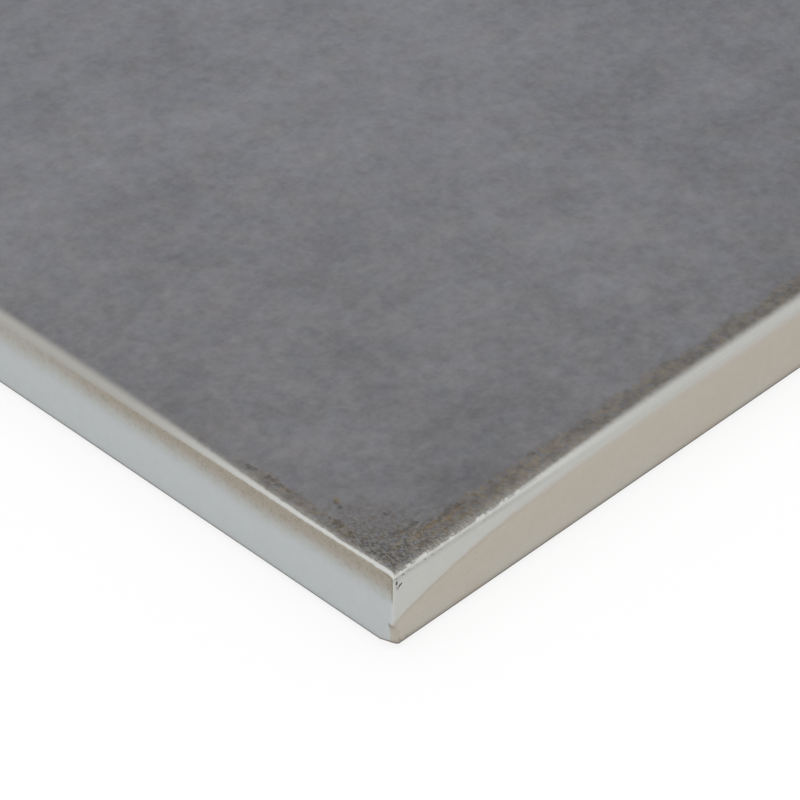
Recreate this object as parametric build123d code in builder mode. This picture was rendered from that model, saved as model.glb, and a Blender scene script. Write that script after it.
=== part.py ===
from build123d import *
import os

# Glazed ceramic wall tile, pressed and fired in one piece. It lies on its back with the
# glazed face up. The origin is the middle of the bedding plane, which the plain rim and
# the rib tops of the keyed back share, and +Z points out of the glazed face.
# All sizes are in millimetres, and angles in degrees.

# Slab
TILE_LENGTH = 200.0  # along X, edge to edge
TILE_WIDTH = 200.0  # along Y, edge to edge
TILE_THICKNESS = 8.0  # bedding plane to glazed face
ARRIS_RADIUS = 0.5  # round that the fired glaze leaves on the edges of the face
BACK_BEVEL = 0.5  # bevel round the back, width and height alike

# Keyed back: square pockets pressed into it, with raised ribs left between them
RIM_WIDTH = 10.0  # plain rim from the tile's edge to the outermost pockets
RIB_WIDTH = 2.0  # flat top of a rib
POCKETS_LONG = 7  # pockets in a row along X
POCKETS_WIDE = 7  # pockets in a row along Y
POCKET_DEPTH = 0.6  # bedding plane to pocket floor
POCKET_CORNER_RADIUS = 1.5  # plan corners of a pocket's mouth
POCKET_DRAFT = 45.0  # lean of a pocket's walls from upright, so that the punch comes out clean


def pocket_span(tile_span, count):
    """Side of one pocket's mouth when count of them fill tile_span between the rims."""
    return (tile_span - 2 * RIM_WIDTH - (count - 1) * RIB_WIDTH) / count


pocket_length = pocket_span(TILE_LENGTH, POCKETS_LONG)
pocket_width = pocket_span(TILE_WIDTH, POCKETS_WIDE)
pitch_long = pocket_length + RIB_WIDTH
pitch_wide = pocket_width + RIB_WIDTH

with BuildPart() as wall_tile:
    # Slab with square upright corners, as the plates of a press die leave them
    with BuildSketch(Plane.XY):
        Rectangle(TILE_LENGTH, TILE_WIDTH)
    extrude(amount=TILE_THICKNESS)

    face_edges = wall_tile.faces().sort_by(Axis.Z)[-1].edges()
    fillet(face_edges, radius=ARRIS_RADIUS)

    back_edges = wall_tile.faces().sort_by(Axis.Z)[0].edges()
    chamfer(back_edges, length=BACK_BEVEL)

    # Drafted pockets of the keyed back, which the bedding mortar grips
    with BuildSketch(Plane.XY):
        with GridLocations(pitch_long, pitch_wide, POCKETS_LONG, POCKETS_WIDE):
            RectangleRounded(pocket_length, pocket_width, POCKET_CORNER_RADIUS)
    extrude(amount=POCKET_DEPTH, taper=POCKET_DRAFT, mode=Mode.SUBTRACT)

wall_tile.part.label = "wall_tile"

os.makedirs("parts", exist_ok=True)
export_step(wall_tile.part, "parts/wall_tile.step")
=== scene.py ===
import math
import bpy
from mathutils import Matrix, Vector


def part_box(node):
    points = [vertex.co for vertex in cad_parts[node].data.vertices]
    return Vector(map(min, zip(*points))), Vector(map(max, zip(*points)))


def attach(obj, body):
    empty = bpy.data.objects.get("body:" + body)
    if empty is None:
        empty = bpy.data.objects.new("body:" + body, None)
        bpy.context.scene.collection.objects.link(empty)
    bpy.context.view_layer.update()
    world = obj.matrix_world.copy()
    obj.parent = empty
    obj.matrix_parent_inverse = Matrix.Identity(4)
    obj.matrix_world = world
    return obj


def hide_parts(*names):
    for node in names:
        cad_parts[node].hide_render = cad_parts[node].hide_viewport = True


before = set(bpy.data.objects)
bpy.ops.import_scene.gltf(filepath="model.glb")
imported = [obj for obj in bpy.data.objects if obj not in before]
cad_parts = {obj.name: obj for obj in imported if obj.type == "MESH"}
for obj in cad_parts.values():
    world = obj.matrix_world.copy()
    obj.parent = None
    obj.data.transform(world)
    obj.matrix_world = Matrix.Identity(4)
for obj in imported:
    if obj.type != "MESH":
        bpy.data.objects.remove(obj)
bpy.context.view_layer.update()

from types import SimpleNamespace

import bpy
from bpy.props import FloatProperty, FloatVectorProperty, IntProperty, PointerProperty
from mathutils import Vector

TILE_LOW, TILE_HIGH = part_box("wall_tile")
MM = 0.001

bl_info = {
    "name": "Cement-look wall tile",
    "version": (1, 0, 0),
    "blender": (4, 5, 0),
    "location": "View3D > Sidebar > Wall tile",
    "description": "Presses, glazes and stages one square glazed wall tile",
    "category": "Object",
}


def paint(red, green, blue):
    """Linear colour of a paint that is written as 0 to 255 screen values."""
    def linear(level):
        share = level / 255
        return share / 12.92 if share <= 0.04045 else ((share + 0.055) / 1.055) ** 2.4

    return linear(red), linear(green), linear(blue)


def length_prop(name, description, default):
    """A size in metres, shown in the user's length unit."""
    return FloatProperty(
        name=name, description=description, default=default, unit="LENGTH", precision=5, min=0
    )


def colour_prop(name, description, default):
    """A colour swatch."""
    return FloatVectorProperty(
        name=name, description=description, default=default, subtype="COLOR", size=3, min=0, max=1
    )


class TileBody(bpy.types.PropertyGroup):
    """Sizes of the pressed body."""

    length: length_prop("Length", "Edge to edge along X", TILE_HIGH.x - TILE_LOW.x)
    width: length_prop("Width", "Edge to edge along Y", TILE_HIGH.y - TILE_LOW.y)
    thickness: length_prop("Thickness", "Bedding plane to glazed face", TILE_HIGH.z - TILE_LOW.z)
    arris: length_prop("Arris radius", "Round on the edges of the glazed face", 0.5 * MM)
    bevel: length_prop("Back bevel", "Bevel round the back", 0.5 * MM)
    ease: length_prop("Corner ease", "How far the upright corners are rubbed down", 0.08 * MM)
    rim: length_prop("Rim", "Plain rim round the pockets of the back", 10 * MM)
    rib: length_prop("Rib", "Flat top of a rib between two pockets", 2 * MM)
    pockets_long: IntProperty(name="Pockets along X", description="Pockets in a row", default=7, min=1)
    pockets_wide: IntProperty(name="Pockets along Y", description="Pockets in a row", default=7, min=1)
    pocket_depth: length_prop("Pocket depth", "Bedding plane to pocket floor", 0.6 * MM)
    pocket_run: length_prop("Pocket wall run", "How far a pocket's wall leans in", 0.6 * MM)
    pocket_corner: length_prop("Pocket corner", "Plan radius of a pocket's corners", 1.5 * MM)
    wave: length_prop("Face wave", "How far the fired face dips between its high spots", 0.03 * MM)
    chip_x: length_prop("Chip along X", "Reach of the chip along the front edge", 1.13 * MM)
    chip_y: length_prop("Chip along Y", "Reach of the chip along the left edge", 2.66 * MM)
    chip_z: length_prop("Chip height", "Reach of the chip up the corner", 1.11 * MM)
    spall_x: length_prop("Spall along X", "Reach of the lost flake along the front edge", 0.6 * MM)
    spall_y: length_prop("Spall along Y", "Reach of the lost flake along the left edge", 0.28 * MM)
    spall_low: length_prop("Spall shoulder", "Height at which the lost flake begins to run out", 1.9 * MM)
    spall_high: length_prop("Spall top", "Height at which the lost flake has run out", 2.8 * MM)


class GlazeFinish(bpy.types.PropertyGroup):
    """Colours and grain sizes of the glaze."""

    grey_dark: colour_prop("Dark grey", "Low tone of the cement mottle", paint(66, 66, 69))
    grey_light: colour_prop("Light grey", "High tone of the cement mottle", paint(132, 132, 136))
    umber: colour_prop("Umber", "Dark stain of the worn border", paint(82, 73, 58))
    tan: colour_prop("Tan", "Light stain of the worn border", paint(117, 107, 90))
    olive: colour_prop("Olive dot", "Warm printed dots of the corners", paint(102, 99, 91))
    slate: colour_prop("Slate dot", "Cool printed dots of the corners", paint(93, 97, 105))
    rust: colour_prop("Rust fleck", "Brown flecks of the worn border", paint(112, 95, 72))
    soot: colour_prop("Soot fleck", "Dark flecks of the worn border", paint(57, 52, 44))
    fringe: colour_prop("Fringe", "Thin glaze just inside the arris", paint(150, 148, 142))
    arris_white: colour_prop("Arris white", "Thin glaze on the arris", paint(190, 191, 188))
    arris_dull: colour_prop("Dull arris", "The same far from the corners", paint(156, 155, 150))
    cloud: length_prop("Cloud size", "Widest drift of tone", 38 * MM)
    blotch: length_prop("Blotch size", "Blotches of the cement mottle", 6 * MM)
    mottle: length_prop("Mottle size", "Finest mottle", 1.2 * MM)
    hue: length_prop("Hue drift", "Patches of warmer and cooler grey", 3.2 * MM)
    dot: length_prop("Print dot", "Pitch of the printed dots", 0.11 * MM)
    border_y: length_prop("Border along X", "Worn border along the front and back edges", 2.6 * MM)
    border_x: length_prop("Border along Y", "Worn border along the left and right edges", 1.4 * MM)
    corner_zone: length_prop("Corner zone", "Reach of the speckled corners", 13 * MM)


class ClayFinish(bpy.types.PropertyGroup):
    """Colours of the bare edges and the back."""

    # Pale wash is also the colour of the painted highlight down the upright corners.
    wash: colour_prop("Pale wash", "Glaze wash run down the front and back edges", paint(179, 179, 175))
    # The blue tint of this colour is painted cool light; the pale colour under the tint is the edges' own.
    slip: colour_prop("Blue slip", "Pale slip on the left and right edges", paint(174, 178, 179))
    tan: colour_prop("Tan clay", "Clay showing under the arris", paint(150, 143, 131))
    beige: colour_prop("Beige clay", "Bare clay below the wash", paint(171, 164, 153))
    ash: colour_prop("Ashy clay", "Greyer smears low on the bare clay", paint(172, 168, 159))
    olive: colour_prop("Olive line", "Dirt inside the bend of the arris", paint(116, 112, 92))
    # Pit colour: dirt in nicks and pits, and also the colour of the painted shade on the bevel, the chip's
    # face and under the front and back arris.
    pit: colour_prop("Pit", "Dirt in nicks and pits", paint(72, 70, 64))
    back: colour_prop("Back clay", "Fired clay of the back", paint(182, 172, 156))
    kiln_wash: colour_prop("Kiln wash", "Chalky wash rubbed on the ribs", paint(206, 202, 194))
    wash_reach: length_prop("Wash height", "Lower limit of the wash away from the corners", 7.0 * MM)
    wash_drop: length_prop("Wash drop", "How much lower it hangs at the corner", 4.0 * MM)
    wash_fade: length_prop("Wash fade", "How far from the corner it keeps hanging", 8.8 * MM)
    tan_low: length_prop("Tan start", "Height at which tan clay begins to show", 4.0 * MM)
    tan_high: length_prop("Tan full", "Height at which the slip ends", 7.1 * MM)


class StageSetup(bpy.types.PropertyGroup):
    """Camera, floor and lamps."""

    camera_offset: FloatVectorProperty(
        name="Camera offset",
        description="Camera from the tile's near lower corner",
        default=(-139.67 * MM, -139.0 * MM, 183.67 * MM),
        subtype="TRANSLATION",
    )
    camera_heading: FloatProperty(
        name="Heading", description="Turn from +X", default=math.radians(44.702), subtype="ANGLE"
    )
    camera_dip: FloatProperty(
        name="Dip", description="Tilt below level", default=math.radians(38.724), subtype="ANGLE"
    )
    lens: FloatProperty(name="Lens", description="Focal length in millimetres", default=152.35, min=1)
    floor_size: length_prop("Floor", "Side of the square floor", 6.0)
    sky: FloatProperty(name="Sky", description="Strength of the even studio light", default=0.6, min=0)
    overhead: FloatProperty(name="Overhead", description="Power of the top softbox", default=5.0, min=0)
    front: FloatProperty(name="Front", description="Power of the camera's softbox", default=8.0, min=0)
    rear: FloatProperty(name="Rear", description="Power of the far softbox", default=1.0, min=0)


class Term:
    """One socket of a node tree, on which Python arithmetic adds Math nodes."""

    def __init__(self, sheet, socket):
        self.sheet = sheet
        self.socket = socket

    def math(self, operation, *others):
        return self.sheet.math(operation, self, *others)

    def __add__(self, other):
        return self.math("ADD", other)

    def __sub__(self, other):
        return self.math("SUBTRACT", other)

    def __mul__(self, other):
        return self.math("MULTIPLY", other)

    def __truediv__(self, other):
        return self.math("DIVIDE", other)

    def __pow__(self, other):
        return self.math("POWER", other)

    def __gt__(self, other):
        return self.math("GREATER_THAN", other)

    def __lt__(self, other):
        return self.math("LESS_THAN", other)

    def __rsub__(self, other):
        return self.sheet.math("SUBTRACT", other, self)

    def __rtruediv__(self, other):
        return self.sheet.math("DIVIDE", other, self)

    def __abs__(self):
        return self.math("ABSOLUTE")

    __radd__ = __add__
    __rmul__ = __mul__

    def low(self, other):
        return self.math("MINIMUM", other)

    def high(self, other):
        return self.math("MAXIMUM", other)

    def unit(self):
        return self.high(0).low(1)

    def ramp(self, start, end):
        """0 before start, 1 after end and a smooth step between them."""
        return self.sheet.node(
            "ShaderNodeMapRange", {"interpolation_type": "SMOOTHSTEP"}, (self, start, end)
        )

    def fading(self, length):
        """1 at 0, falling to about a third over each further length."""
        return (self * (-1 / length)).math("EXPONENT")


class NodeSheet:
    """A node tree that is filled by calls."""

    def __init__(self, tree):
        self.tree = tree

    def node(self, kind, settings, values, out=None):
        """Adds a node, applies its settings, then sets or links its sockets.

        Returns the output named out, or else the first one.
        """
        made = self.tree.nodes.new(kind)
        for key, value in settings.items():
            setattr(made, key, value)
        sockets = [socket for socket in made.inputs if socket.enabled]
        if isinstance(values, dict):
            named = {socket.name: socket for socket in sockets}
            pairs = [(named[name], value) for name, value in values.items()]
        else:
            pairs = list(zip(sockets, values))
        for socket, value in pairs:
            if isinstance(value, Term):
                self.tree.links.new(value.socket, socket)
            else:
                socket.default_value = value
        outputs = [socket for socket in made.outputs if socket.enabled and out in (None, socket.name)]
        return Term(self, outputs[0]) if outputs else None

    def outputs(self, kind, values, names):
        """Several outputs of one new node."""
        made = self.node(kind, {}, values).socket.node
        return [Term(self, made.outputs[name]) for name in names]

    def math(self, operation, *values):
        return self.node("ShaderNodeMath", {"operation": operation}, values)

    def vector(self, operation, *values):
        return self.node("ShaderNodeVectorMath", {"operation": operation}, values)

    def joined(self, *parts):
        """A vector from its X, Y and Z."""
        return self.node("ShaderNodeCombineXYZ", {}, parts)

    def parts(self, vector):
        """The X, Y and Z of a vector."""
        return self.outputs("ShaderNodeSeparateXYZ", (vector,), ("X", "Y", "Z"))

    def noise(self, vector, size, detail=2.0, roughness=0.5):
        """Soft noise between 0 and 1 whose lumps are about size across."""
        return self.node(
            "ShaderNodeTexNoise",
            {"noise_dimensions": "3D"},
            {"Vector": vector, "Scale": 1 / size, "Detail": detail, "Roughness": roughness},
        )


# The pressed body

# Mesh steps across the plain rim and up an edge, and how many of them lie in the arris and the
# bevel. The rim's steps widen inwards by the power of its crowding.
RIM_LINES = 20
EDGE_ROWS = 26
ARRIS_LINES = 3
BEVEL_LINES = 2
RIM_CROWDING = 1.9

# Mesh steps from the middle of a pocket's floor to the start of its corner arc. Then come one
# step across the arc, one across the wall to the mouth and one out to the middle of the rib.
FLOOR_LINES = 2
MOUTH_LINE = FLOOR_LINES + 2
PITCH_LINES = 2 * (MOUTH_LINE + 1)

HAIR = 0.01  # share of a size that is too small to see, for comparing places
WAVE_LUMP = 22 * MM  # width of the waves of the fired face
BREAK_LUMP = 0.6 * MM  # width of the lumps of a broken face
FLAKE_LUMPS = 0.3  # height of those lumps, as a share of the flake's reach
CHIP_LUMPS = 0.25  # the same for the chip
SHARP_ANGLE = math.radians(26)  # edges that turn by more than this stay sharp
COUNTS = ("pockets_long", "pockets_wide")


class PressLine:
    """Where the mesh lines across one direction of the tile lie, and where they cross a pocket.

    Lines crowd towards the edge, with the last few inside the arris. Each pocket then has
    lines at both ends of its walls, at the ends of its corner arcs and across its floor.
    """

    def __init__(self, size, place, span, pockets):
        lines = pockets * PITCH_LINES - 2 + 2 * RIM_LINES
        self.count = lines + 1
        self.half_pocket = (span - 2 * size.rim - (pockets - 1) * size.rib) / pockets / 2
        index = ((place + 0.5) * lines).math("ROUND")
        self.side = (place > 0) * 2 - 1
        from_edge = index.low(lines - index)

        edge_line = from_edge.low(RIM_LINES)
        crowd = (edge_line - ARRIS_LINES).high(0) / (RIM_LINES - ARRIS_LINES)
        near = size.arris / ARRIS_LINES * edge_line.low(ARRIS_LINES)
        near = near + (size.rim - size.arris) * crowd ** RIM_CROWDING

        field_line = (from_edge - RIM_LINES).high(0)
        cell = (field_line / PITCH_LINES).math("FLOOR")
        step = field_line - cell * PITCH_LINES - MOUTH_LINE
        reach = abs(step)
        flat = (self.half_pocket - size.pocket_corner) / FLOOR_LINES * reach.low(FLOOR_LINES)
        bend = (size.pocket_corner - size.pocket_run) * (reach - FLOOR_LINES).unit()
        wall = size.pocket_run * (reach - (FLOOR_LINES + 1)).unit()
        crest = size.rib / 2 * (reach - MOUTH_LINE).unit()
        self.from_pocket = flat + bend + wall + crest
        along = cell * (self.half_pocket * 2 + size.rib) + self.half_pocket
        self.inset = near + along + step.math("SIGN") * self.from_pocket


def row_height(size, place_z):
    """Height of each row of the edges, with the first rows in the bevel and the last in the arris."""
    row = ((place_z + 0.5) * EDGE_ROWS).math("ROUND")
    plain_rows = EDGE_ROWS - BEVEL_LINES - ARRIS_LINES
    plain = (size.thickness - size.bevel - size.arris) / plain_rows
    height = size.bevel / BEVEL_LINES * row.low(BEVEL_LINES)
    height = height + plain * (row - BEVEL_LINES).high(0).low(plain_rows)
    return height + size.arris / ARRIS_LINES * (row - (EDGE_ROWS - ARRIS_LINES)).high(0)


def rounded_slab(size, line_x, line_y, nearest, height):
    """Where the points lie once the slab has its arris, its bevel and its rubbed upright corners."""
    hair = size.arris * HAIR
    arris_base = size.thickness - size.arris
    climb = (height - arris_base).high(0)
    above_bevel = height > size.bevel * (1 - HAIR)
    corner = (line_x.inset < hair) * (line_y.inset < hair)

    def turned(inset, rise):
        """How far in a point of the arris comes to lie."""
        lean = (size.arris - inset).high(0).math("ARCTAN2", rise)
        return size.arris * (1 - lean.math("SINE")) + (inset - size.arris).high(0)

    def shaped(inset):
        """How far in any point comes to lie."""
        on_edge = inset < hair
        upper = turned(inset, size.arris)
        lower = inset + (size.bevel - inset).high(0) / 2
        across = lower + (upper - lower) * above_bevel
        edge_in = turned(inset * 0, climb) + (size.bevel - height).high(0) / 2
        edge_in = edge_in + corner * size.ease * (1 - climb / size.arris * 0.7)
        return across + (edge_in - across) * on_edge

    x = line_x.side * (size.length / 2 - shaped(line_x.inset))
    y = line_y.side * (size.width / 2 - shaped(line_y.inset))
    lean = (size.arris - nearest).high(0).math("ARCTAN2", climb)
    rounded = arris_base + size.arris * lean.math("COSINE")
    z = height + (rounded - height) * (height > arris_base)
    return x, y, z + (size.bevel - nearest - height).high(0) / 2


def pocket_sink(size, line_x, line_y):
    """How far the back is pressed in."""
    over_x = line_x.from_pocket - (line_x.half_pocket - size.pocket_corner)
    over_y = line_y.from_pocket - (line_y.half_pocket - size.pocket_corner)
    outside = (over_x.high(0) ** 2 + over_y.high(0) ** 2).math("SQRT")
    gap = outside + over_x.high(over_y).low(0) - size.pocket_corner
    return size.pocket_depth * (0 - gap / size.pocket_run).unit()


def spall_share(size, from_left, from_front, up):
    """Below 1 where the flake at the near upright corner is lost."""
    run_out = (up - size.spall_low).high(0) / (size.spall_high - size.spall_low)
    return from_left / size.spall_x + from_front / size.spall_y + run_out


def chip_share(size, from_left, from_front, up):
    """Below 1 where the chip at the near lower corner is lost."""
    return from_left / size.chip_x + from_front / size.chip_y + up / size.chip_z


def broken_corner(sheet, size, x, y, z):
    """The points again, with those outside a broken face of the near lower corner laid onto it."""
    from_left = x + size.length / 2
    from_front = y + size.width / 2
    rough = sheet.noise(sheet.joined(x, y, z), BREAK_LUMP) - 0.5
    flake = spall_share(size, from_left, from_front, z) + rough * FLAKE_LUMPS
    slide = (1 - flake).high(0) / (1 / size.spall_x ** 2 + 1 / size.spall_y ** 2)
    from_left = from_left + slide / size.spall_x
    from_front = from_front + slide / size.spall_y
    chip = chip_share(size, from_left, from_front, z) + rough * CHIP_LUMPS
    steep_x, steep_y, steep_z = 1 / size.chip_x, 1 / size.chip_y, 1 / size.chip_z
    push = (1 - chip).high(0) / (steep_x ** 2 + steep_y ** 2 + steep_z ** 2)
    return sheet.joined(
        from_left + push * steep_x - size.length / 2,
        from_front + push * steep_y - size.width / 2,
        z + push * steep_z,
    )


def body_inputs(sheet):
    """A named input of the tree for each size of the body."""
    names = tuple(TileBody.__annotations__)
    for name in names:
        kind = "NodeSocketInt" if name in COUNTS else "NodeSocketFloat"
        sheet.tree.interface.new_socket(name=name, in_out="INPUT", socket_type=kind)
    return SimpleNamespace(**dict(zip(names, sheet.outputs("NodeGroupInput", (), names))))


def pressed_body_tree(materials):
    """Geometry nodes that press the tile: slab, keyed back, face wave and broken corner."""
    tree = bpy.data.node_groups.new("pressed_wall_tile", "GeometryNodeTree")
    sheet = NodeSheet(tree)
    size = body_inputs(sheet)
    tree.interface.new_socket(name="tile", in_out="OUTPUT", socket_type="NodeSocketGeometry")

    # Blank of one unit, whose faces remember which way they looked
    place_x, place_y, place_z = sheet.parts(sheet.node("GeometryNodeInputPosition", {}, ()))
    line_x = PressLine(size, place_x, size.length, size.pockets_long)
    line_y = PressLine(size, place_y, size.width, size.pockets_wide)
    blank = sheet.node(
        "GeometryNodeMeshCube",
        {},
        {
            "Size": (1, 1, 1),
            "Vertices X": line_x.count,
            "Vertices Y": line_y.count,
            "Vertices Z": EDGE_ROWS + 1,
        },
    )
    normal_z = sheet.parts(sheet.node("GeometryNodeInputNormal", {}, ()))[2]
    blank = sheet.node(
        "GeometryNodeStoreNamedAttribute",
        {"data_type": "FLOAT", "domain": "FACE"},
        {"Geometry": blank, "Name": "zone", "Value": normal_z},
    )

    height = row_height(size, place_z)
    nearest = line_x.inset.low(line_y.inset)
    x, y, z = rounded_slab(size, line_x, line_y, nearest, height)
    hair = size.arris * HAIR
    in_field = (height < hair) * (nearest > size.rim * (1 - HAIR))
    z = z + pocket_sink(size, line_x, line_y) * in_field

    # Slow wave of the fired face
    dip = sheet.noise(sheet.joined(x, y, 0.0), WAVE_LUMP)
    inner = nearest.ramp(size.arris, size.arris * 8)
    z = z - size.wave * dip * inner * (height > size.thickness - hair)

    final = broken_corner(sheet, size, x, y, z)
    body = sheet.node("GeometryNodeSetPosition", {}, {"Geometry": blank, "Position": final})
    body = sheet.node("GeometryNodeRealizeInstances", {}, (body,))
    zone = sheet.node("GeometryNodeInputNamedAttribute", {"data_type": "FLOAT"}, {"Name": "zone"})
    choices = {"edge": abs(zone) < 0.5, "face": zone > 0.5, "back": zone < -0.5}
    for part, chosen in choices.items():
        body = sheet.node(
            "GeometryNodeSetMaterial",
            {},
            {"Geometry": body, "Selection": chosen, "Material": materials[part]},
        )
    sheet.node("NodeGroupOutput", {}, (body,))
    return tree


def press_body(body, materials):
    """The tile as one plain closed mesh."""
    tree = pressed_body_tree(materials)
    piece = bpy.data.objects.new("pressed_tile", bpy.data.meshes.new("pressed_tile_blank"))
    bpy.context.scene.collection.objects.link(piece)
    press = piece.modifiers.new("press", "NODES")
    press.node_group = tree
    for socket in tree.interface.items_tree:
        if socket.in_out == "INPUT":
            press[socket.identifier] = getattr(body, socket.name)
    depsgraph = bpy.context.evaluated_depsgraph_get()
    mesh = bpy.data.meshes.new_from_object(piece.evaluated_get(depsgraph), depsgraph=depsgraph)
    piece.modifiers.remove(press)
    piece.data = mesh
    mesh.name = "pressed_tile"
    mesh.attributes.remove(mesh.attributes["zone"])
    mesh.shade_smooth()
    mesh.set_sharp_from_angle(angle=SHARP_ANGLE)
    return piece


# The finishes

# Marks beside the near corner, as strokes from end to end in millimetres. Those of the face
# are measured along the front and the left edge, and those of an edge along it and up.
RUST_FLECKS = (
    ((4.5, 2.1), (5.5, 2.2)),
    ((6.2, 2.2), (7.3, 2.0)),
    ((8.0, 1.9), (9.6, 2.05)),
    ((7.1, 0.9), (7.1, 0.3)),
    ((3.8, 3.3), (4.3, 3.2)),
    ((3.4, 10.0), (3.3, 9.4)),
)
SOOT_FLECKS = (
    ((3.7, 3.55), (4.8, 3.25)),
    ((5.5, 3.4), (5.95, 3.3)),
    ((7.5, 2.25), (8.9, 2.5)),
    ((9.4, 2.45), (10.3, 2.4)),
    ((5.0, 5.75), (5.3, 5.35)),
    ((3.1, 9.8), (3.0, 8.9)),
    ((1.45, 8.4), (1.3, 7.2)),
    ((1.3, 6.3), (1.2, 5.6)),
    ((1.5, 13.1), (1.5, 15.7)),
    ((1.4, 17.2), (1.4, 18.0)),
)
NICK = (((0.44, 7.18), (0.41, 7.0)), ((0.94, 6.72), (0.69, 6.62)))
SCUFF = (((0.42, 6.64), (0.56, 6.4)), ((0.56, 6.4), (0.7, 6.52)))
FRONT_CREASE = (((0.74, 0.95), (0.84, 0.74)), ((1.36, 0.8), (1.54, 0.85)))
FRONT_NOTCH = (((0.0, 2.5), (0.26, 2.52)),)
LEFT_NOTCH = (((0.38, 2.66), (0.0, 2.54)),)

SEED_STEP = (0.37, 0.53, 0.71)  # how far, in metres, each next seed moves a noise


class FinishSheet(NodeSheet):
    """A new material with its place on the tile and a few ways to lay one colour on another."""

    def __init__(self, name):
        self.material = bpy.data.materials.new(name)
        self.material.use_nodes = True
        super().__init__(self.material.node_tree)
        self.tree.nodes.clear()
        self.place = self.node("ShaderNodeTexCoord", {}, (), out="Object")
        self.x, self.y, self.z = self.parts(self.place)

    def elsewhere(self, seed, squeeze=None):
        """The same place moved far off, so that a second noise shows another pattern.

        A squeeze under 1 draws the pattern out that way.
        """
        moved = self.vector("ADD", self.place, [step * seed for step in SEED_STEP])
        return self.vector("MULTIPLY", moved, squeeze) if squeeze else moved

    def grain(self, seed, size, detail=2.0, roughness=0.5):
        return self.noise(self.elsewhere(seed), size, detail, roughness)

    def cells(self, seed, size, squeeze=None):
        """Three random shares for each little cell."""
        colour = self.node(
            "ShaderNodeTexVoronoi",
            {"voronoi_dimensions": "3D", "feature": "F1"},
            {"Vector": self.elsewhere(seed, squeeze), "Scale": 1 / size, "Randomness": 0.9},
            out="Color",
        )
        return self.parts(colour)

    def lay(self, share, under, over):
        """Colour over laid on colour under."""
        settings = {"data_type": "RGBA", "clamp_factor": True}
        pair = [c if isinstance(c, Term) else (*c, 1.0) for c in (under, over)]
        return self.node("ShaderNodeMix", settings, (share, *pair))

    def scale(self, colour, share):
        return self.vector("SCALE", colour, share)

    def finish(self, colour, roughness, height, depth, specular):
        """Closes the material: height is raised by up to depth metres as bump."""
        normal = self.node(
            "ShaderNodeBump", {}, {"Strength": 1.0, "Distance": depth, "Height": height}
        )
        shader = self.node(
            "ShaderNodeBsdfPrincipled",
            {},
            {
                "Base Color": colour,
                "Roughness": roughness,
                "Normal": normal,
                "Specular IOR Level": specular,
            },
        )
        self.node("ShaderNodeOutputMaterial", {}, {"Surface": shader})
        return self.material


class EdgedSheet(FinishSheet):
    """A finish that changes with the distance from the tile's edges."""

    def __init__(self, name, body):
        super().__init__(name)
        self.body = body
        self.edge_x = body.length / 2 - abs(self.x)
        self.edge_y = body.width / 2 - abs(self.y)
        self.from_corner = self.edge_x.high(self.edge_y)
        self.beside_y = self.edge_y < self.edge_x
        self.from_left = self.x + body.length / 2
        self.from_front = self.y + body.width / 2

    def from_strokes(self, across, up, strokes):
        """Distance from the nearest of some straight strokes, with their ends in millimetres."""
        nearest = None
        for start, end in strokes:
            run = (end[0] - start[0], end[1] - start[1])
            right = across - start[0] * MM
            above = up - start[1] * MM
            share = ((right * run[0] + above * run[1]) / ((run[0] ** 2 + run[1] ** 2) * MM)).unit()
            right = right - share * (run[0] * MM)
            above = above - share * (run[1] * MM)
            gap = (right * right + above * above).math("SQRT")
            nearest = gap if nearest is None else nearest.low(gap)
        return nearest

    def arris_colour(self, glaze):
        """Thin glaze of the arris, which is duller far from the corners."""
        dulled = self.from_corner.ramp(6 * MM, 34 * MM) * (1 - self.beside_y * 0.45)
        return self.lay(dulled, glaze.arris_white, glaze.arris_dull)

    def worn_white(self):
        """How much white is left on a front or back arris, which is cracked and beaded near a corner."""
        near = 1 - self.edge_x.ramp(9 * MM, 20 * MM)
        cracks = 1 - abs(self.grain(9, 1.4 * MM) - 0.5).ramp(0.01, 0.06)
        beads = self.grain(15, 0.8 * MM).ramp(0.45, 0.58)
        rubbed = self.edge_x.ramp(2 * MM, 5 * MM) * (1 - beads)
        return 1 - cracks.high(rubbed) * 0.9 * near


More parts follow.
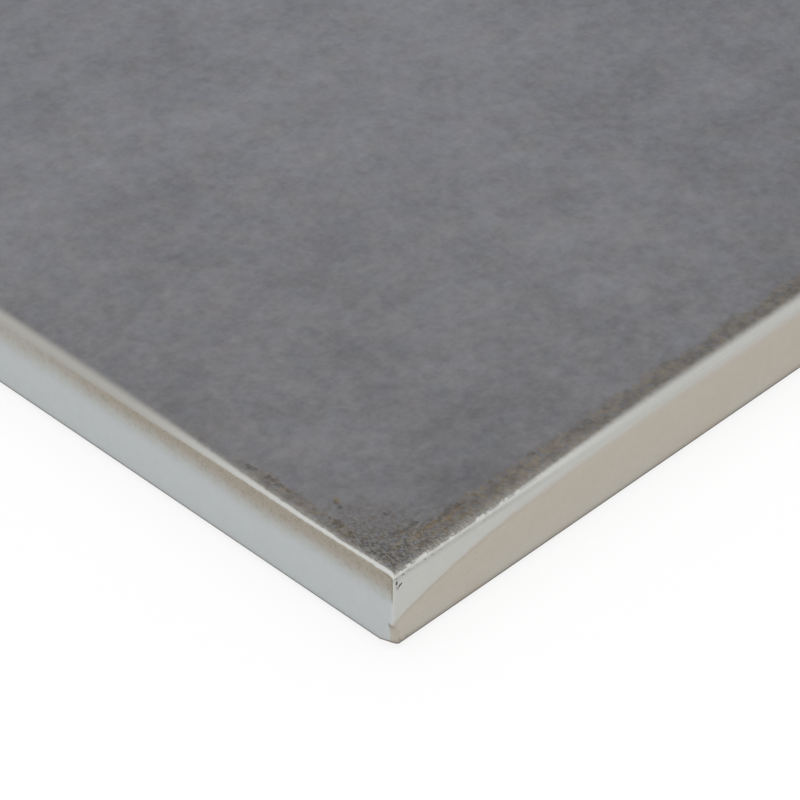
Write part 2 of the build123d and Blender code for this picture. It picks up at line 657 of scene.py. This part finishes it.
class GlazedFace(EdgedSheet):
    """Satin cement-look glaze: clouded grey, stained border, speckled corners and pale arris."""

    def __init__(self, body, glaze):
        super().__init__("satin_cement_glaze", body)
        self.glaze = glaze
        self.blotch = self.grain(2, glaze.blotch, 3.0, 0.55) - 0.5
        self.mottle = self.grain(3, glaze.mottle, 3.0, 0.6) - 0.5
        self.cluster = self.grain(5, 0.9 * MM)
        self.crumb = self.grain(16, 0.55 * MM, 3.0)
        self.dot_a, self.dot_b, self.dot_c = self.cells(7, glaze.dot, (1, 0.45, 1))

        # How far inside the worn border's limit a point lies, and where the left and right
        # border isn't broken
        wander = self.grain(6, 3.2 * MM, 3.0) - 0.5
        self.inside_y = self.edge_y - glaze.border_y + wander * (1.5 * MM)
        self.inside_x = self.edge_x - glaze.border_x + wander * (2.6 * MM)
        patch = self.grain(11, 5 * MM).ramp(0.34, 0.54)
        self.unbroken = (1 - self.edge_y.ramp(12 * MM, 22 * MM) * 0.75) * patch

        # The corners and their tips
        self.from_tip = self.edge_x + self.edge_y
        self.tip = 1 - self.from_tip.ramp(1.2 * MM, 6 * MM)
        self.corner_reach = self.from_tip + wander * (5 * MM)
        self.corner = 1 - self.corner_reach.ramp(glaze.corner_zone * 0.2, glaze.corner_zone)

    def cement(self):
        """Mottle with tone at several sizes, and a slight drift of hue that is coolest in the middle."""
        glaze = self.glaze
        cloud = self.grain(31, glaze.cloud) - 0.5
        grit = self.grain(12, glaze.mottle * 0.4) - 0.5
        tone = 0.46 + cloud * 0.53 + self.blotch * 0.5 + self.mottle * 0.5 + grit * 0.22
        tone = tone + (self.dot_a - 0.5) * 0.03
        warm = (self.grain(4, glaze.hue, 3.0, 0.65) - 0.5) * 0.165
        warm = warm + 0.01 - self.from_tip.ramp(15 * MM, 110 * MM) * 0.03
        green = (self.grain(13, glaze.hue * 0.5, 3.0, 0.7) - 0.5) * 0.08
        grey = self.lay(tone, glaze.grey_dark, glaze.grey_light)
        return self.vector("MULTIPLY", grey, self.joined(1 + warm, 1 + green, 1 - warm))

    def stained_border(self, colour):
        """A stained strip along each edge, broken along the left and right ones."""
        glaze = self.glaze
        strip_y = 1 - self.inside_y.ramp(-0.5 * MM, 0.5 * MM)
        strip_x = (1 - self.inside_x.ramp(-0.5 * MM, 0.6 * MM)) * self.unbroken
        stain = self.lay(self.cluster.ramp(0.34, 0.66), glaze.umber, glaze.tan)
        stain = self.lay(self.crumb.ramp(0.52, 0.38) * 0.6, stain, glaze.slate)
        darkened = 1 - self.edge_x.ramp(12 * MM, 32 * MM) * 0.2
        stain = self.scale(stain, (0.86 + self.dot_a * 0.28) * darkened)
        # The grey is also made a little darker within a few millimetres of each edge.
        edge = self.edge_x.low(self.edge_y)
        colour = self.scale(colour, 0.96 + edge.ramp(1.5 * MM, 6 * MM) * 0.04)
        return self.lay(strip_y.high(strip_x * 0.95) * (0.65 - self.tip * 0.3), colour, stain)

    def printed_corners(self, colour):
        """Printed dots that show in the corners, darkest in the tip."""
        glaze = self.glaze
        dots = self.lay(self.dot_b.ramp(0.3, 0.7), glaze.olive, glaze.slate)
        dots = self.scale(dots, 0.35 + self.dot_a.ramp(0.1, 0.9) * 1.2)
        colour = self.lay(self.corner * 0.7, colour, dots)
        aged = self.corner_reach.ramp(2 * MM, 7 * MM) * (1 - self.corner_reach.ramp(7 * MM, 16 * MM))
        colour = self.lay(aged * 0.12, colour, glaze.umber)
        colour = self.lay(self.crumb.ramp(0.5, 0.62) * aged * (0.3 + self.dot_b * 0.5), colour, glaze.umber)
        return self.lay(self.tip * (0.05 + self.dot_c * 0.4), colour, glaze.soot)

    def rust_and_soot(self, colour):
        """Flecks along the border's inner limit, and the single ones of the near corner."""
        glaze = self.glaze
        limit_y = 1 - abs(self.inside_y).ramp(0.15 * MM, 0.6 * MM)
        limit_x = (1 - abs(self.inside_x).ramp(0.1 * MM, 0.45 * MM)) * self.unbroken
        limit = limit_y.high(limit_x) * (1 - self.edge_x.ramp(18 * MM, 32 * MM) * 0.7)
        ragged = self.grain(14, 0.5 * MM, 3.0)
        broken_up = 0.25 + self.dot_c.ramp(0.3, 0.6) * 0.75
        flecks = ragged.ramp(0.5, 0.6) * limit.high(self.corner * 0.35) * broken_up
        fleck = self.lay(self.cluster.ramp(0.45, 0.55), glaze.soot, glaze.rust)
        colour = self.lay(flecks * 0.5, colour, fleck)
        single_flecks = (
            (RUST_FLECKS, glaze.rust, broken_up * 0.75),
            (SOOT_FLECKS, glaze.soot, 0.4 + self.dot_b * 0.3),
        )
        for strokes, over, share in single_flecks:
            gap = self.from_strokes(self.from_left, self.from_front, strokes) + (ragged - 0.5) * (1.4 * MM)
            colour = self.lay((1 - gap.ramp(0.05 * MM, 0.3 * MM)) * share, colour, over)
        return colour

    def thin_arris(self, colour):
        """Pale glaze at the arris: sharp and broken near the corners, wide and soft far from them."""
        rag = self.grain(8, 0.5 * MM, 3.0) - 0.5
        far = self.from_corner.ramp(10 * MM, 35 * MM)
        reach_x = 0.28 * MM + (1 - self.edge_y.ramp(1 * MM, 6 * MM)) * (0.12 * MM) + far * (0.42 * MM)
        reach_y = 0.28 * MM + far * (0.46 * MM)
        inward = (self.edge_x - reach_x).low(self.edge_y - reach_y) + rag * (0.16 * MM)
        fringe_width = 0.6 * MM + self.beside_y * self.edge_x.ramp(3 * MM, 9 * MM) * (0.35 * MM)
        fringe = 1 - (inward + rag * (0.4 * MM)).ramp(0.0, fringe_width)
        fringe = fringe * (0.3 + self.dot_a * 0.35) * (1 - far * 0.9)
        colour = self.lay(fringe, colour, self.glaze.fringe)
        soft = 0.09 * MM + far * (0.45 * MM)
        pale = 1 - (inward / soft).ramp(-1, 1)
        left_white = 1 - (1 - self.worn_white()) * self.beside_y
        return self.lay(pale * left_white, colour, self.arris_colour(self.glaze))

    def fire(self):
        """Lays all the coats and returns the material."""
        colour = self.cement()
        for coat in (self.stained_border, self.printed_corners, self.rust_and_soot, self.thin_arris):
            colour = coat(colour)
        roughness = 0.5 + self.blotch * 0.16 + self.corner * 0.06
        height = self.grain(10, 0.35 * MM) + self.mottle * 0.8 + self.dot_a * 0.2
        return self.finish(colour, roughness, height, depth=0.012 * MM, specular=0.2)


class BareEdge(EdgedSheet):
    """Edges of the tile: wash run down two of them, slip over tan clay on the other two, its blue tint
    painted cool light, and a painted highlight down the upright corners.
    """

    def __init__(self, body, clay, glaze):
        super().__init__("washed_clay_edge", body)
        self.clay = clay
        self.glaze = glaze
        self.below = body.thickness - self.z
        self.far = self.edge_y.ramp(12 * MM, 36 * MM)
        self.broad = self.grain(21, 9 * MM, 3.0)
        self.fine = self.grain(22, 1.2 * MM, 3.0, 0.6)
        self.sand = self.grain(23, 0.22 * MM)
        self.rag = self.grain(27, 0.5 * MM, 3.0) - 0.5
        self.inside = self.inside_bend()

    def inside_bend(self):
        """Distance inside the pale line of the arris, which bends down into the upright corners and, above
        2.6 mm, runs on down them as a thin painted highlight.
        """
        bend = 0.32 * MM
        # Painted highlight: the shift of 0.05 mm above 2.6 mm lays a thin pale line down the upright corner.
        beside = self.edge_y - 0.05 * MM * self.z.ramp(2.6 * MM, 3.3 * MM)
        drop = 0.2 * MM + self.edge_y.ramp(3 * MM, 10 * MM) * (0.1 * MM) + self.far * (0.2 * MM)
        under = self.below - drop
        return bend - ((bend - beside).high(0) ** 2 + (bend - under).high(0) ** 2).math("SQRT")

    def washed_clay(self):
        """Front and back edges: a wash that hangs low at the corners and thins out along the edge."""
        clay = self.clay
        from_right = self.body.length / 2 - self.x
        limit = clay.wash_reach - self.from_left.fading(clay.wash_fade) * clay.wash_drop
        limit = limit - from_right.fading(clay.wash_fade * 0.8) * (clay.wash_drop * 0.7)
        limit = limit + (self.broad - 0.5) * (0.7 * MM) + (self.fine - 0.5) * (0.5 * MM)
        blend = 0.28 * MM + self.from_corner.ramp(6 * MM, 30 * MM) * (0.48 * MM)
        washed = ((self.z - limit) / blend).ramp(-1, 1)
        ashy = (1 - self.z.ramp(1.6 * MM, 3.4 * MM)) * self.grain(24, 6 * MM, 3.0).ramp(0.4, 0.56)
        colour = self.lay(ashy * 0.8, clay.beige, clay.ash)
        colour = self.lay(self.broad.ramp(0.45, 0.7) * 0.3, colour, clay.ash)
        colour = self.lay(washed, colour, clay.wash)
        tide = 1 - abs(self.z - limit + 0.2 * MM).ramp(0.05 * MM, 0.35 * MM)
        tide = tide * (1 - self.from_corner.ramp(6 * MM, 24 * MM) * 0.8)
        return self.lay(tide * 0.25, colour, clay.tan)

    def slipped_clay(self):
        """Left and right edges: slip, tinted blue as painted cool light, that fades up into tan clay, with
        dirt inside the bend of the arris.
        """
        clay = self.clay
        runs = self.noise(self.elsewhere(25, (1.0, 1.0, 0.15)), 0.4 * MM)
        lift = self.z + (runs - 0.5) * (0.3 * MM) + (self.broad - 0.5) * (0.9 * MM) + self.rag * (0.5 * MM)
        bare = lift.ramp(clay.tan_low, clay.tan_high) ** 1.4
        bare = bare * (1 - self.edge_y.ramp(30 * MM, 46 * MM) * 0.3)
        dirt = self.grain(28, 0.7 * MM, 3.0).ramp(0.5, 0.66)
        colour = self.lay(bare, clay.slip, clay.tan)
        colour = self.lay(bare * self.sand.ramp(0.54, 0.72) * 0.32, colour, clay.pit)
        colour = self.lay(bare * dirt * 0.25, colour, clay.olive)
        bend_line = 1 - abs(self.inside - 0.09 * MM).ramp(0.02 * MM, 0.1 * MM)
        bend_line = bend_line * self.z.ramp(4.9 * MM, 5.6 * MM) * (1 - self.edge_y.ramp(0.5 * MM, 2.0 * MM))
        return self.lay(bend_line * 0.6, colour, clay.olive)

    def arris_share(self):
        """How much of the arris's pale glaze is left, with the painted highlight down the upright corners.
        """
        soft = 0.065 * MM + self.far * (0.14 * MM)
        pale_side = 1 - ((self.inside + self.rag * (0.14 * MM)) / soft).ramp(-1, 1)
        pale_front = 1 - (self.below - 0.28 * MM + self.rag * (0.14 * MM)).ramp(-0.05 * MM, 0.08 * MM)
        pale_front = pale_front * self.worn_white()
        return pale_side + (pale_front - pale_side) * self.beside_y

    def seam_pits(self):
        """Pits of the seam under the front and back arris, for the first stretch from the left."""
        seam = 1 - abs(self.below + self.rag * (0.3 * MM) - 0.45 * MM).ramp(0.02 * MM, 0.11 * MM)
        beads = self.grain(26, 0.35 * MM, 3.0).ramp(0.46, 0.62)
        return seam * (0.15 + beads * 0.85) * self.beside_y * (self.from_left.fading(7 * MM) * 1.2)

    def dirty_seam(self, colour, pits):
        """Painted shade, pits and specks under the arris of the front and back edges."""
        pit = self.clay.pit
        # Painted shade: a soft darker band just under the arris, weaker away from the left corner.
        shade = 1 - abs(self.below - 0.58 * MM).ramp(0.05 * MM, 0.42 * MM)
        shade = shade * (1 - self.from_left.ramp(10 * MM, 22 * MM) * 0.7)
        specks = self.grain(29, 0.4 * MM).ramp(0.66, 0.76)
        colour = self.lay(shade * self.beside_y * 0.13, colour, pit)
        colour = self.lay(pits * 0.6, colour, pit)
        return self.lay(specks * self.beside_y * 0.2, colour, pit)

    def broken_clay(self, colour):
        """Bare clay where the flake and the chip are lost, the edges darker towards the bottom, and painted
        shade on the bevel and the chip's face.
        """
        clay = self.clay
        place = (self.from_left, self.from_front, self.z)
        flake = 1 - (spall_share(self.body, *place) + self.rag * 0.5).ramp(1.05, 1.35)
        chip = 1 - chip_share(self.body, *place).ramp(1.03, 1.15)
        torn_reach = (0.14 + self.z.ramp(1.2 * MM, 2.7 * MM) * 0.32) * MM
        torn = 1 - (self.from_front - torn_reach + self.rag * (0.2 * MM)).ramp(-0.05 * MM, 0.08 * MM)
        torn = torn * (1 - self.z.ramp(2.68 * MM, 2.8 * MM)) * (1 - self.beside_y) * (self.x < 0)
        lost = flake.high(chip).high(torn)
        colour = self.lay(lost * 0.9, colour, self.lay(self.fine, clay.tan, clay.beige))
        # Darker towards the bottom, more on the front and back edges than on the left and right.
        darker_low = (1 - self.z.ramp(0.5 * MM, 1.25 * MM)) * (0.4 + self.fine * 0.5)
        colour = self.lay(darker_low * (0.2 + self.beside_y * 0.55) * 0.6, colour, clay.pit)
        # Painted shade: the bevel, which faces down, and the chip's face are darkened in colour.
        painted_bevel_shade = 1 - self.z.ramp(0.56 * MM, 0.76 * MM)
        return self.lay(painted_bevel_shade.high(chip) * 0.55, colour, clay.pit)

    def near_marks(self, colour):
        """Nick, scuff, crease and notches beside the near corner, and how deep they go."""
        near_front = self.beside_y * (self.y < 0)
        near_left = (1 - self.beside_y) * (self.x < 0)

        def cut(across, strokes, half_width, where):
            gap = self.from_strokes(across, self.z, strokes) + self.rag * (0.12 * MM)
            return (1 - gap.ramp(half_width * 0.5, half_width * 1.3)) * where

        nick = cut(self.from_left, NICK, 0.11 * MM, near_front)
        scuff = cut(self.from_left, SCUFF, 0.11 * MM, near_front)
        crease = cut(self.from_left, FRONT_CREASE, 0.11 * MM, near_front)
        notch = cut(self.from_front, LEFT_NOTCH, 0.22 * MM, near_left)
        notch = notch.high(cut(self.from_left, FRONT_NOTCH, 0.2 * MM, near_front) * 0.5)
        dirt = nick + scuff * 0.4 + crease * 0.25 + notch * 0.3
        return self.lay(dirt, colour, self.clay.pit), nick * 3 + scuff + crease + notch

    def fire(self):
        """Lays all the coats and returns the material."""
        colour = self.lay(self.beside_y, self.slipped_clay(), self.washed_clay())
        colour = self.scale(colour, 0.95 + (self.fine - 0.5) * 0.08 + self.sand * 0.1)
        # The pale share holds the arris glaze and the painted highlight down the upright corners.
        pale = self.arris_share()
        white = self.lay(self.below.ramp(0.3 * MM, 1.2 * MM), self.arris_colour(self.glaze), self.clay.wash)
        colour = self.lay(pale, colour, white)
        pits = self.seam_pits()
        colour = self.broken_clay(self.dirty_seam(colour, pits))
        colour, marks = self.near_marks(colour)
        height = self.sand * 0.5 + self.fine * 0.8 - marks - pits * 1.5
        roughness = 0.72 - pale * 0.3
        return self.finish(colour, roughness, height, depth=0.02 * MM, specular=0.2)


class KeyedBack(FinishSheet):
    """Pressed back: gritty fired clay, chalky where it ran on the kiln's rollers."""

    def __init__(self, clay):
        super().__init__("pressed_clay_back")
        self.clay = clay

    def fire(self):
        """Lays all the coats and returns the material."""
        clay = self.clay
        broad = self.grain(41, 24 * MM, 3.0)
        fine = self.grain(42, 2.0 * MM, 3.0, 0.6)
        sand = self.grain(43, 0.4 * MM)
        speck, pore = self.cells(44, 0.6 * MM)[:2]
        drag = self.noise(self.elsewhere(45, (0.08, 1.0, 1.0)), 4 * MM, 3.0)
        tops = 1 - self.z.ramp(0.02 * MM, 0.25 * MM)
        colour = self.lay(tops * drag.ramp(0.42, 0.62) * 0.7, clay.back, clay.kiln_wash)
        colour = self.lay((broad - 0.45).ramp(0.0, 0.25) * 0.25, colour, clay.tan)
        colour = self.scale(colour, 0.9 + fine * 0.12 + sand * 0.08)
        colour = self.lay((speck > 0.975) * 0.4, colour, clay.pit)
        height = sand * 0.7 + fine * 0.9 - (pore > 0.97) * 0.8
        return self.finish(colour, 0.85, height, depth=0.05 * MM, specular=0.25)


# The stage

WHITE = (1, 1, 1, 1)
PAPER = (0.9, 0.9, 0.9, 1)
FLOOR_GLOW = 0.8  # share of plain white in the floor where it is looked at

# Each softbox: the setting that holds its power, its place and its side, in metres
SOFTBOXES = (
    ("overhead", (0.0, 0.0, 1.1), 1.2),
    ("front", (-0.9, -0.9, 0.7), 1.0),
    ("rear", (0.9, 0.9, 0.7), 1.0),
)


def looked_at(sheet):
    """1 where the camera or a reflection looks, 0 for every other ray."""
    rays = ("Is Camera Ray", "Is Glossy Ray", "Is Transmission Ray")
    camera, glossy, transmission = sheet.outputs("ShaderNodeLightPath", (), rays)
    return camera.high(glossy).high(transmission)


def lay_floor(stage):
    """Pale floor that shows white and still takes the tile's shadow."""
    half = stage.floor_size / 2
    ground = TILE_LOW.z
    corners = [(-half, -half, ground), (half, -half, ground), (half, half, ground), (-half, half, ground)]
    mesh = bpy.data.meshes.new("studio_floor")
    mesh.from_pydata(corners, [], [(0, 1, 2, 3)])
    floor = bpy.data.objects.new("studio_floor", mesh)
    bpy.context.scene.collection.objects.link(floor)
    material = bpy.data.materials.new("studio_floor")
    material.use_nodes = True
    sheet = NodeSheet(material.node_tree)
    sheet.tree.nodes.clear()
    seen = looked_at(sheet)
    paper = sheet.node("ShaderNodeBsdfDiffuse", {}, {"Color": PAPER})
    glow = sheet.node("ShaderNodeEmission", {}, {"Color": WHITE, "Strength": 1.0})
    both = sheet.node("ShaderNodeMixShader", {}, (seen * FLOOR_GLOW, paper, glow))
    sheet.node("ShaderNodeOutputMaterial", {}, {"Surface": both})
    mesh.materials.append(material)


def light_sky(stage):
    """Even studio light that shows as a white background."""
    world = bpy.data.worlds.new("studio_sky")
    world.use_nodes = True
    sheet = NodeSheet(world.node_tree)
    sheet.tree.nodes.clear()
    seen = looked_at(sheet)
    strength = stage.sky + seen * (1 - stage.sky)
    sky = sheet.node("ShaderNodeBackground", {}, {"Color": WHITE, "Strength": strength})
    sheet.node("ShaderNodeOutputWorld", {}, {"Surface": sky})
    bpy.context.scene.world = world


def hang_softbox(name, place, power, side):
    """A square area lamp that looks at the middle of the tile."""
    lamp = bpy.data.lights.new(name, "AREA")
    lamp.energy = power
    lamp.size = side
    box = bpy.data.objects.new(name, lamp)
    box.location = place
    box.rotation_euler = (-Vector(place)).to_track_quat("-Z", "Y").to_euler()
    bpy.context.scene.collection.objects.link(box)


def set_camera(stage):
    """Camera above the near lower corner, from which its place is measured."""
    lens = bpy.data.cameras.new("studio_camera")
    lens.lens = stage.lens
    lens.sensor_width = 36
    lens.clip_start = 0.01
    camera = bpy.data.objects.new("studio_camera", lens)
    camera.location = TILE_LOW + Vector(stage.camera_offset)
    camera.rotation_euler = (
        math.pi / 2 - stage.camera_dip,
        0,
        stage.camera_heading - math.pi / 2,
    )
    bpy.context.scene.collection.objects.link(camera)
    bpy.context.scene.camera = camera


# The add-on


class WALLTILE_OT_press_and_glaze(bpy.types.Operator):
    """Press the tile's body, glaze its face and finish its edges and back"""

    bl_idname = "wall_tile.press_and_glaze"
    bl_label = "Press and glaze the tile"

    def execute(self, context):
        body = context.scene.tile_body
        glaze = context.scene.tile_glaze
        clay = context.scene.tile_clay
        materials = {
            "face": GlazedFace(body, glaze).fire(),
            "edge": BareEdge(body, clay, glaze).fire(),
            "back": KeyedBack(clay).fire(),
        }
        piece = press_body(body, materials)
        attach(piece, "root")
        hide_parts("wall_tile")
        return {"FINISHED"}


class WALLTILE_OT_set_stage(bpy.types.Operator):
    """Lay the floor, light the studio and set the camera"""

    bl_idname = "wall_tile.set_stage"
    bl_label = "Set the stage"

    def execute(self, context):
        stage = context.scene.tile_stage
        context.scene.view_settings.view_transform = "Standard"
        lay_floor(stage)
        light_sky(stage)
        for name, place, side in SOFTBOXES:
            hang_softbox(f"{name}_softbox", place, getattr(stage, name), side)
        set_camera(stage)
        return {"FINISHED"}


class WALLTILE_PT_panel(bpy.types.Panel):
    """Lists the tile's operators and settings"""

    bl_idname = "WALLTILE_PT_panel"
    bl_label = "Wall tile"
    bl_space_type = "VIEW_3D"
    bl_region_type = "UI"
    bl_category = "Wall tile"

    def draw(self, context):
        layout = self.layout
        for operator in (WALLTILE_OT_press_and_glaze, WALLTILE_OT_set_stage):
            layout.operator(operator.bl_idname)
        for group in SETTINGS:
            box = layout.box()
            settings = getattr(context.scene, group)
            for name in settings.__annotations__:
                box.prop(settings, name)


SETTINGS = {
    "tile_body": TileBody,
    "tile_glaze": GlazeFinish,
    "tile_clay": ClayFinish,
    "tile_stage": StageSetup,
}
CLASSES = (
    *SETTINGS.values(),
    WALLTILE_OT_press_and_glaze,
    WALLTILE_OT_set_stage,
    WALLTILE_PT_panel,
)


def register():
    for each in CLASSES:
        bpy.utils.register_class(each)
    for name, group in SETTINGS.items():
        setattr(bpy.types.Scene, name, PointerProperty(type=group))


def unregister():
    for name in SETTINGS:
        delattr(bpy.types.Scene, name)
    for each in reversed(CLASSES):
        bpy.utils.unregister_class(each)


def main():
    register()
    bpy.ops.wall_tile.press_and_glaze()
    bpy.ops.wall_tile.set_stage()


if __name__ == "__main__":
    main()
